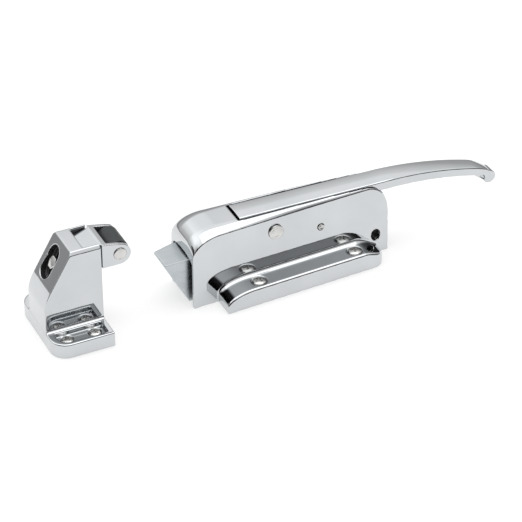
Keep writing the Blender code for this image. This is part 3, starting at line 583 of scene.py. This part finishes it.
def lever_half(x):
    taper = LEVER_HALF - 0.0045 * max(0.0, x - LEVER_X0) - 0.023 * max(0.0, x - DROOP_X0)
    return taper - 0.0105 * max(0.0, x - CURL_X0) ** 2


def latch_housing():
    """Hollow body with its flanges, mouth, lever slot and holes."""
    obj = scratch("housing", loft([body_ring(x) for x in stations(0.0)]))
    slot = loft([[(x, -h, SLOT_FLOOR), (x, h, SLOT_FLOOR), (x, h, 70.0), (x, -h, 70.0)]
                 for x, h in ((x, lever_half(x) + SLOT_GAP) for x in (SLOT_X0, BODY_X1 + 4.0))])
    x, z, half_w, half_h = SIDE_HOLE
    wide = BODY_HALF_WIDE + 3.0
    steps = [("UNION", flange(-1)), ("UNION", flange(1)),
             ("DIFFERENCE", loft([body_ring(x, WALL, -2.0) for x in stations(WALL)])),
             ("DIFFERENCE", mouth()), ("DIFFERENCE", slot),
             ("DIFFERENCE", rod(PIVOT_R + GAP, -wide, wide, along_y(PIVOT[0], 0, PIVOT[1]))),
             ("DIFFERENCE", rod(STOP_R + GAP, -wide, wide, along_y(STOP[0], 0, STOP[1]))),
             ("DIFFERENCE", prism(arc(x, z, half_w, half_h, 0, 354, 59), -wide, wide))]
    steps += [("DIFFERENCE", countersink(x, y, top, SCREW_HOLE, SCREW_SINK)) for x, y, top in latch_points()]
    carve(obj, steps)
    soften(obj, 0.5, 4)
    finish("housing_casting", obj, "latch_body", HOUSING, "latch_housing")


# ---- lever ----------------------------------------------------------------
def lever_top(x):
    """Height of the lever's back: almost level, then drooping to its end."""
    level = CROWN_LEFT - 0.1 - 0.018 * (x - LEVER_X0)
    return level - 0.00171 * max(0.0, x - DROOP_X0) ** 2 - 0.0125 * max(0.0, x - CURL_X0) ** 2


def lever_low(x):
    """Height of the lever's lower edge, which runs straight down past the curl."""
    straight = min(x, CURL_X0)
    return lever_top(straight) - LEVER_DEEP + 0.009 * max(0.0, straight - 90.0) - 0.79 * (x - straight)


def lever_rings(x0, x1, side_in, top_in, floor_in, steps):
    """Cross-sections along the lever, drawn in by these amounts for the hollow below it."""
    rings = []
    for i in range(steps + 1):
        x = x0 + (x1 - x0) * i / steps
        half, top, edge = lever_half(x) - side_in, lever_top(x) - top_in, 1.2
        ring = [(half, lever_low(x) + floor_in)] + arc(half - edge, top - edge, edge, edge, 0, 90, 5)
        for k in range(1, 7):
            y = (half - edge) * (1.0 - k / 6)
            ring.append((y, top + 0.45 * (1.0 - (y / (half - edge)) ** 2)))
        rings.append([(x, y, z) for y, z in ring + [(-y, z) for y, z in reversed(ring[:-1])]])
    return rings


def rolled_end():
    """Steps that roll the lever's end into a bead with a small hollow beside it."""
    x, z = BEAD
    web = [(172.0, lever_low(172.0) + 0.6), (172.0, lever_top(172.0) - 1.0), (174.0, lever_top(174.0) - 0.2),
           (x + 2.4, z + BEAD_R - 0.6), (x, z - BEAD_R + 0.4)]
    steps = [("UNION", prism(web, -BEAD_HALF, BEAD_HALF)),
             ("UNION", rod(BEAD_R, -BEAD_HALF, BEAD_HALF, along_y(x, 0, z)))]
    hollow = [(164.2, 39.3), (166.6, 36.4), (168.9, 34.4), (170.8, 33.2), (170.4, 35.8), (169.2, 38.0)]
    for side in (-1, 1):
        steps.append(("DIFFERENCE", prism(hollow, side * 4.4, side * 9.0)))
    return steps


def lever_casting():
    """Hollow-backed lever with the cheeks for its pin, the arm and a rib over the stop."""
    px, pz = PIVOT
    obj = scratch("lever", loft(lever_rings(LEVER_X0, 174.0, 0.0, 0.0, 0.0, 107)))
    tongue = arc(px, pz - ARM_LENGTH, ARM_TIP_R, ARM_TIP_R, 220, 320, 16)
    tongue += [(px + 2.5, 18.7), (px + 2.5, pz - 12.0), (px + 7.5, pz), (px + 7.5, 59.8),
               (px - 7.5, 59.8), (px - 7.5, pz), (px - 2.5, pz - 12.0), (px - 2.5, 18.7)]
    rib_low = STOP[1] + 4.5
    steps = [("DIFFERENCE", loft(lever_rings(LEVER_X0 + 2.4, 156.0, 2.1, 2.6, -4.0, 60)))] + rolled_end()
    for side in (-1, 1):
        cheek = [(px - 13.0, lever_top(px) - 1.4)] + arc(px, pz, PIVOT_R + 3.0, PIVOT_R + 3.0, 195, 345, 24)
        cheek += [(px + 15.0, lever_top(px) - 1.4)]
        steps.append(("UNION", prism(cheek, side * 5.6, side * 8.6)))
    steps += [("UNION", prism(tongue, -3.2, 3.2)),
              ("UNION", prism([(19.5, rib_low), (29.0, rib_low), (31.0, 59.2), (17.5, 59.2)], -2.2, 2.2)),
              ("DIFFERENCE", rod(PIVOT_R + GAP, -12.0, 12.0, along_y(px, 0, pz)))]
    carve(obj, steps)
    soften(obj, 0.4, 3)
    finish("lever_casting", obj, "lever", CHROME, "lever_handle")


def pin(name, node, body, x, z, shank, head, cap):
    """Cross pin with a domed, dimpled head on the camera's side."""
    near = wall_y(x - head, z - head) + (0.15 if head > shank else 0.0)
    far = half_width(x) + 1.6
    profile = [(0, -far), (shank - 0.5, -far), (shank, -far + 0.5), (shank, near - 0.1)]
    if head > shank:
        profile += [(head - 0.2, near - 0.1), (head, near + 0.1)]
    profile += [(head, near + cap * 0.5), (head - 0.15, near + cap * 0.8), (head - 0.5, near + cap),
                (head * 0.66, near + cap), (head * 0.6, near + cap * 0.55), (head * 0.2, near + cap * 0.45),
                (0, near + cap * 0.2)]
    obj = scratch(name, turned(profile, along_y(x, 0, z), 72))
    finish(name, obj, body, STEEL, node)


def pins():
    """Pivot pin, stop pin, and the ring that holds the pivot pin's far end."""
    pin("pivot_pin", "lever_pivot_pin", "latch_body", *PIVOT, PIVOT_R, 6.0, 1.1)
    pin("stop_pin", "lever_stop_pin", "latch_body", *STOP, STOP_R, STOP_R, 0.5)
    high = -half_width(PIVOT[0] - 7.0) - 0.5
    low, inner, outer, edge = high - 0.9, PIVOT_R + 0.25, 6.4, 0.15
    profile = [(inner, low + edge), (inner + edge, low), (outer - edge, low), (outer, low + edge),
               (outer, high - edge), (outer - edge, high), (inner + edge, high), (inner, high - edge)]
    obj = scratch("pivot_ring", hoop(profile, along_y(PIVOT[0], 0, PIVOT[1])))
    finish("pivot_ring", obj, "latch_body", STEEL, "pivot_pin_ring")


# ---- bolt -----------------------------------------------------------------
def bolt():
    """Wedge with a hollow underside, and a tail whose pocket takes the lever's arm."""
    block = [(BOLT_NOSE, BOLT_TOP - 1.6), (-82.9, BOLT_FLOOR), (BOLT_BACK, BOLT_FLOOR), (BOLT_BACK, 26.0),
             (BOLT_BACK - 4.0, BOLT_TOP), (BOLT_NOSE + 0.8, BOLT_TOP), (BOLT_NOSE, BOLT_TOP - 0.6)]
    obj = scratch("bolt", prism(block, -BOLT_HALF, BOLT_HALF))
    corner = loft([[(BOLT_NOSE - 1.0, 7.4, z), (-85.5, BOLT_HALF + 0.02, z), (BOLT_NOSE - 1.0, 20.0, z)]
                   for z in (-1.0, BOLT_TOP + 2.0)])
    steps = [("UNION", slab(BOLT_BACK - 3.0, TAIL_END, -TAIL_HALF, TAIL_HALF, BOLT_FLOOR, TAIL_TOP)),
             ("DIFFERENCE", slab(*POCKET_X, -POCKET_HALF, POCKET_HALF, 3.4, TAIL_TOP + 2.0)),
             ("DIFFERENCE", slab(-78.0, BOLT_BACK - 3.5, -9.5, 9.5, BOLT_FLOOR - 1.0, BOLT_TOP - 4.0)),
             ("DIFFERENCE", corner)]
    carve(obj, steps)
    soften(obj, 0.4, 4)
    finish("bolt_wedge", obj, "bolt", ZINC, "latch_bolt")


def spring():
    """Compression spring with closed end turns, built at the CAD spring's length."""
    low, high = node_box("bolt_spring")
    per_turn, sides = 36, 14
    closed = 0.9  # turns at each end that lie flat
    pitch = 2.7 * SPRING_WIRE
    first, last = low.x + SPRING_WIRE, high.x - SPRING_WIRE
    rings = []
    for i in range(SPRING_TURNS * per_turn + 1):
        turn = i / per_turn
        flat = pitch * (min(turn, closed) + max(0.0, turn - SPRING_TURNS + closed))
        share = max(0.0, min(1.0, (turn - closed) / (SPRING_TURNS - 2 * closed)))
        x = first + flat + share * (last - first - 2 * closed * pitch)
        out = Vector((0, math.cos(math.tau * turn), math.sin(math.tau * turn)))
        centre = Vector((x, 0, SPRING_Z)) + SPRING_R * out
        rings.append([centre + SPRING_WIRE * (math.cos(b) * out + math.sin(b) * Vector((1, 0, 0)))
                      for b in (math.tau * k / sides for k in range(sides))])
    obj = finish("bolt_spring_coil", scratch("coil", loft(rings)), "latch_body", SPRING_STEEL,
                 "bolt_spring")
    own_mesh(obj)


# ---- screws ---------------------------------------------------------------
def screw_mesh(shank, head, foot):
    """Oval-head cross-recess screw; height 0 is the top of its countersink."""
    rim = -0.35  # the dome's edge lies this far below the top of the countersink
    angles = [math.radians(a) for a in range(0, 90, 9)]
    dome = [(head * math.cos(a), rim + 1.7 * math.sin(a)) for a in angles] + [(0, 1.35)]
    profile = [(0, foot), (shank, foot), (shank, rim - head + shank), (head - 0.12, -0.5)] + dome
    obj = scratch("screw", turned(profile, upright(0, 0, 0), 72))
    wing, half, tip = head * 0.55, head * 0.11, 0.55
    steps = []
    for turn in (0, 90):
        bm = loft([[(-wing * tip, -half, -2.2), (wing * tip, -half, -2.2), (wing * tip, half, -2.2),
                    (-wing * tip, half, -2.2)],
                   [(-wing, -half * 1.3, 2.5), (wing, -half * 1.3, 2.5), (wing, half * 1.3, 2.5),
                    (-wing, half * 1.3, 2.5)]])
        bmesh.ops.transform(bm, matrix=Matrix.Rotation(math.radians(turn), 4, "Z"), verts=bm.verts)
        steps.append(("DIFFERENCE", bm))
    steps.append(("DIFFERENCE", turned([(0, -1.9), (head * 0.16, -1.6), (head * 0.3, 1.6), (0, 1.6)],
                                       upright(0, 0, 0), 24)))
    carve(obj, steps)
    mesh = obj.data
    bpy.data.objects.remove(obj)
    return mesh


def screws():
    """One screw mesh per size, each copy turned by its own angle."""
    strike = [(x, side * STRIKE_SCREW_Y, STRIKE_FLANGE_TOP - CHANNEL_DEPTH)
              for x in STRIKE_SCREW_X for side in (-1, 1)]
    turns = (20, 65, -12, 40)
    for label, points, shank, head in (("latch", latch_points(), SCREW_SHANK, SCREW_HEAD),
                                       ("strike", strike, STRIKE_SCREW_SHANK, STRIKE_SCREW_HEAD)):
        foot = node_box(f"{label}_mounting_screw_1")[0].z
        mesh = screw_mesh(shank, head, foot - points[0][2])
        for i, ((x, y, top), turn) in enumerate(zip(points, turns)):
            obj = bpy.data.objects.new("screw", mesh.copy())
            bpy.context.scene.collection.objects.link(obj)
            obj.data.transform(Matrix.Translation((x, y, top)) @ Matrix.Rotation(math.radians(turn), 4, "Z"))
            finish(f"{label}_screw_{i + 1}", obj, f"{label}_body", STEEL,
                   f"{label}_mounting_screw_{i + 1}")


# ---- strike ---------------------------------------------------------------
def slant_x(z, depth):
    """X of the plane that lies depth behind the slanted back, at height z."""
    return FOOT[0] + depth / SLANT.z + (z - FOOT[1]) * SLANT.x / SLANT.z


def strike_outline():
    """Side view of the strike's body: upright foot, blend, slanted back."""
    x0, x1 = STRIKE_BACK, STRIKE_FRONT
    lower = Vector((x0, 0, FOOT[1] - 10.0))
    bend = Vector((x0, 0, FOOT[1] - (FOOT[0] - x0) * SLANT.z / SLANT.x))
    upper = Vector((FOOT[0], 0, FOOT[1])) + SLANT * 8.0
    curve = []
    for i in range(25):
        t = i / 24
        point = (1 - t) ** 2 * lower + 2 * t * (1 - t) * bend + t * t * upper
        curve.append((point.x, point.z))
    return [(x1, 0.0), (x1, HEAD[1]), HEAD] + curve[::-1] + [(x0, 0.0)]


def strike_base():
    """Foot with two flanges; its back corners are well rounded in plan."""
    r, y, edge = 13.0, STRIKE_HIGH.y, 1.2
    x0, x1 = STRIKE_LOW.x, STRIKE_FRONT
    plan = [(x1, -y), (x1, y)]
    plan += arc(x0 + r, y - r, r, r, 90, 180, 28) + arc(x0 + r, r - y, r, r, 180, 270, 28)
    top = STRIKE_FLANGE_TOP
    rings = [[(px, py, 0.0) for px, py in plan]]
    for k in range(7):
        a = math.radians(15 * k)
        draw, rise = edge * (1 - math.cos(a)), edge * math.sin(a)
        rings.append([(px + (draw * (x0 + r + 7 - px) / (r + 7) if px < x1 - 0.1 else 0.0),
                       py - draw * py / y, top - edge + rise) for px, py in plan])
    return loft(rings)


def channel(side):
    """Recess along a flange that the screw heads sit in."""
    x0, x1 = STRIKE_LOW.x + 5.6, STRIKE_FRONT - 4.2
    y0, y1, r = STRIKE_HALF + RIM, STRIKE_HIGH.y - RIM, 9.0
    plan = [(x1, y0), (x1, y1)] + arc(x0 + r, y1 - r, r, r, 90, 180, 20) + [(x0, y0)]
    floor = STRIKE_FLANGE_TOP - CHANNEL_DEPTH
    return loft([[(px, side * py, z) for px, py in plan] for z in (floor, STRIKE_FLANGE_TOP + 6.0)])


def wall_cove(side):
    """Hollow rounding where a side wall meets its flange."""
    r, y, z = 2.6, STRIKE_HALF, STRIKE_FLANGE_TOP
    outline = [(y - 1.0, z - 1.0), (y + r, z - 1.0)]
    outline += arc(y + r, z + r, r, r, 270, 182, 12) + [(y - 1.0, z + r)]
    return loft([[(x, side * py, pz) for py, pz in outline] for x in (STRIKE_LOW.x + 1.0, STRIKE_FRONT)])


def slot_prism(half_long, half_wide, outside, depth):
    """Round-ended slot cut square into the slanted back."""
    outline = arc(half_long - half_wide, 0, half_wide, half_wide, -90, 90, 24)
    outline += arc(half_wide - half_long, 0, half_wide, half_wide, 90, 270, 24)
    return loft([[SLOT_CENTRE + SLANT * a + Vector((0, b, 0)) + OUTWARD * level for a, b in outline]
                 for level in (outside, -depth)])


def top_edge(side):
    """Bevel between a side wall and the top."""
    y, top = side * STRIKE_HALF, HEAD[1]
    outline = [(y + side, top - 3.4), (y + side, top + 1.0), (y - side * 3.2, top + 1.0)]
    return loft([[(x, py, pz) for py, pz in outline] for x in (HEAD[0] - 6.0, STRIKE_FRONT + 2.0)])


def strike_casting():
    """Hollow body on a foot with two recessed flanges, with a stepped slot in its back."""
    obj = scratch("strike", prism(strike_outline(), -STRIKE_HALF, STRIKE_HALF))
    left, top = STRIKE_BACK + STRIKE_WALL, HEAD[1] + 4.0
    foot = FOOT[1] - (slant_x(FOOT[1], SLANT_WALL) - left) * SLANT.z / SLANT.x
    right = STRIKE_FRONT + 4.0
    hollow = [(left, -2.0), (right, -2.0), (right, top), (slant_x(top, SLANT_WALL), top), (left, foot)]
    inner = STRIKE_HALF - STRIKE_WALL
    steps = [("UNION", strike_base()), ("UNION", wall_cove(-1)), ("UNION", wall_cove(1)),
             ("DIFFERENCE", prism(hollow, -inner, inner)),
             ("DIFFERENCE", slot_prism(SLOT_LONG / 2, SLOT_HALF, 3.0, SLOT_DEPTH)),
             ("DIFFERENCE", slot_prism(SLOT_INNER_LONG / 2, SLOT_INNER_HALF, -3.0, 14.0))]
    floor = STRIKE_FLANGE_TOP - CHANNEL_DEPTH
    for side in (-1, 1):
        y = side * STRIKE_SCREW_Y
        steps += [("DIFFERENCE", top_edge(side)), ("DIFFERENCE", channel(side))]
        steps += [("DIFFERENCE", countersink(x, y, floor, STRIKE_SCREW_HOLE, STRIKE_SCREW_SINK))
                  for x in STRIKE_SCREW_X]
    carve(obj, steps)
    soften(obj, 0.45, 4)
    finish("strike_casting", obj, "strike_body", STRIKE, "strike_housing")


def clamp_place():
    """Placement of the clamp screw: +Z runs from the slot into the stem."""
    return Matrix.Translation(SLOT_CENTRE) @ (-OUTWARD).to_track_quat("Z", "Y").to_matrix().to_4x4()


def bracket():
    """Clevis for the roller, with a stem that lies behind the slanted back."""
    px, pz = ROLLER
    shoulder_x, face = STRIKE_FRONT + EAR_GAP, SLANT_WALL + STEM_GAP
    low, top = EAR_LOW, EAR_TOP
    ear = [(shoulder_x, low), (px, low)] + arc(px, low + EAR_R, EAR_R, EAR_R, -84, 66, 40)
    ear += [(px - 1.0, top - 2.6), (shoulder_x, top)]
    obj = scratch("bracket", prism(ear, -EAR_HALF, EAR_HALF))
    back = top - 3.8
    stem = prism([(slant_x(STEM_LOW, face), STEM_LOW), (shoulder_x + 1.0, low + 1.2),
                  (shoulder_x + 1.0, top - 0.3), (slant_x(back, face), back)], -STEM_HALF, STEM_HALF)
    gap = slab(px - EAR_R - 1.0, px + 20.0, -EAR_INNER, EAR_INNER, low - 2.0, top + 2.0)
    carve(obj, [("UNION", stem), ("DIFFERENCE", gap),
                ("DIFFERENCE", rod(ROLLER_PIN_R + GAP, -20.0, 20.0, along_y(px, 0, pz))),
                ("DIFFERENCE", rod(CLAMP_SHANK_R + GAP, face - 1.0, SLOT_DEPTH + CLAMP_LONG + 1.0,
                                   clamp_place()))])
    soften(obj, 0.4, 4)
    finish("bracket_casting", obj, "bracket", CHROME, "roller_bracket")


def roller_parts():
    """Roller, and the pin that it turns on."""
    px, pz = ROLLER
    half, head = EAR_HALF, ROLLER_PIN_HEAD
    cap = [(ROLLER_PIN_R, half + GAP), (head, half + GAP), (head, half + 0.6), (head - 0.4, half + 0.85),
           (head - 1.2, half + 0.9), (head - 1.5, half + 0.65), (0, half + 0.55)]
    profile = [(r, -h) for r, h in reversed(cap)] + cap
    obj = scratch("roller_axle", turned(profile, along_y(px, 0, pz), 72))
    finish("roller_axle", obj, "bracket", STEEL, "roller_pin")
    edge = 0.8
    profile = [(ROLLER_PIN_R + GAP, -ROLLER_HALF), (ROLLER_R - edge, -ROLLER_HALF)]
    for a in range(15, 91, 15):
        turn = math.radians(a)
        profile.append((ROLLER_R - edge + edge * math.sin(turn), -ROLLER_HALF + edge - edge * math.cos(turn)))
    profile += [(r, -h) for r, h in reversed(profile)]
    obj = scratch("nylon_roller", hoop(profile, along_y(px, 0, pz), 96))
    finish("nylon_roller", obj, "roller", BLACK_NYLON, "strike_roller")


def clamp_screw():
    """Hexagon-head screw in the slot that holds the bracket's stem."""
    under, r = SLOT_DEPTH - GAP, CLAMP_HEAD_R
    outer = under - CLAMP_HEAD_T
    head = turned([(0, outer), (r - 1.0, outer), (r - 0.2, outer + 0.35), (r, outer + 0.7), (r, under),
                   (0, under)], clamp_place(), 6)
    obj = scratch("clamp_screw", head)
    carve(obj, [("UNION", rod(CLAMP_SHANK_R, under - 1.0, under + CLAMP_LONG, clamp_place()))])
    mod = obj.modifiers.new("edges", "BEVEL")
    mod.width = 0.25
    mod.segments = 2
    mod.limit_method = "ANGLE"
    bake(obj)
    finish("clamp_screw", obj, "bracket", STEEL, "adjusting_screw")


# ---- studio ---------------------------------------------------------------
def pale_floor():
    """Matt floor that shines a little itself, so that it reflects pale and shows soft shadows."""
    floor_mat, tree, shader = surface("pale_floor", 0.0)
    shader.inputs["Roughness"].default_value = 0.9
    shader.inputs["Specular IOR Level"].default_value = 0.0
    vary(tree, shader, "Base Color", noise(tree, 3.0), [(0.0, 0.44), (1.0, 0.46)])
    shader.inputs["Emission Color"].default_value = (1.0, 1.0, 1.0, 1.0)
    shader.inputs["Emission Strength"].default_value = 0.62
    bm = bmesh.new()
    bmesh.ops.create_grid(bm, x_segments=4, y_segments=4, size=0.6)
    floor = scratch("floor", bm)
    floor.location = (0.0, 0.0, -0.0002)
    floor.data.materials.append(floor_mat)


def camera_at_photo(scene):
    camera = bpy.data.objects.new("camera", bpy.data.cameras.new("camera"))
    scene.collection.objects.link(camera)
    camera.location = (-0.6689, -1.3515, 1.0648)
    camera.rotation_euler = (math.radians(90.0 - 35.1), 0.0, math.radians(-25.71))
    camera.data.lens = 168.6
    camera.data.clip_end = 20.0
    scene.camera = camera


def surroundings(scene):
    """White room with what the chrome reflects: a dark front low down, a bright top, a paler rear."""
    world = bpy.data.worlds.new("studio")
    scene.world = world
    world.use_nodes = True
    tree = world.node_tree
    back = tree.nodes["Background"]
    place = tree.nodes.new("ShaderNodeTexCoord")
    split = tree.nodes.new("ShaderNodeSeparateXYZ")
    tree.links.new(place.outputs["Generated"], split.inputs["Vector"])
    front = ramp(tree, split.outputs["Z"],
                 [(0.0, 0.02), (0.16, 0.03), (0.36, 0.14), (0.56, 0.43), (0.70, 0.90), (0.85, 1.15)])
    low_left = calc(tree, "MULTIPLY_ADD", split.outputs["Z"], 1.2, split.outputs["X"])
    dark_left = ramp(tree, low_left, [(0.0, 0.08), (0.2, 1.0)])
    rear = ramp(tree, split.outputs["Z"], [(0.0, 0.28), (0.06, 0.44), (0.29, 0.54), (0.405, 0.74),
                                           (0.53, 0.93), (0.58, 1.12), (0.8, 1.2)])
    brighter_left = add(tree, "ShaderNodeMapRange", From_Min=-0.6, From_Max=0.0, To_Min=1.35, To_Max=1.0)
    tree.links.new(split.outputs["X"], brighter_left.inputs["Value"])
    side = add(tree, "ShaderNodeMapRange", From_Min=-0.35, From_Max=0.25)
    tree.links.new(split.outputs["Y"], side.inputs["Value"])
    mix = add(tree, "ShaderNodeMix", data_type="RGBA")
    tree.links.new(side.outputs["Result"], mix.inputs["Factor"])
    tree.links.new(multiply(tree, front, dark_left), mix.inputs[6])
    tree.links.new(multiply(tree, rear, brighter_left.outputs["Result"]), mix.inputs[7])
    # a small dark patch on one side, as a lens between white walls leaves
    toward = add(tree, "ShaderNodeVectorMath", operation="DOT_PRODUCT")
    toward.inputs[1].default_value = (-0.42, -0.72, 0.55)
    tree.links.new(place.outputs["Generated"], toward.inputs[0])
    hole = ramp(tree, toward.outputs["Value"], [(0.93, 1.0), (0.965, 0.03)])
    # what is seen directly is plain white
    ray = tree.nodes.new("ShaderNodeLightPath")
    seen = add(tree, "ShaderNodeMix", data_type="RGBA")
    seen.inputs[7].default_value = (1.1, 1.1, 1.1, 1.0)
    tree.links.new(ray.outputs["Is Camera Ray"], seen.inputs["Factor"])
    tree.links.new(multiply(tree, mix.outputs[2], hole), seen.inputs[6])
    tree.links.new(seen.outputs[2], back.inputs["Color"])
    back.inputs["Strength"].default_value = 1.0


def softbox(scene):
    lamp = bpy.data.objects.new("softbox", bpy.data.lights.new("softbox", "AREA"))
    scene.collection.objects.link(lamp)
    lamp.data.shape = "RECTANGLE"
    lamp.data.size, lamp.data.size_y = 1.6, 1.2
    lamp.data.energy = 6.0
    lamp.location = (0.1, -0.1, 1.5)


def studio():
    scene = bpy.context.scene
    scene.view_settings.view_transform = "Standard"
    pale_floor()
    camera_at_photo(scene)
    surroundings(scene)
    softbox(scene)


latch_housing()
lever_casting()
pins()
bolt()
spring()
screws()
strike_casting()
bracket()
roller_parts()
clamp_screw()
for node, mat in (("base_plate", PLATE_STEEL), ("spring_guide_rod", STEEL), ("spring_washer", STEEL),
                  ("lever_stop_sleeve", WHITE_NYLON)):
    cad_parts[node].material_slots[0].material = mat
for i in range(4):
    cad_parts[f"base_plate_screw_{i + 1}"].material_slots[0].material = STEEL
studio()
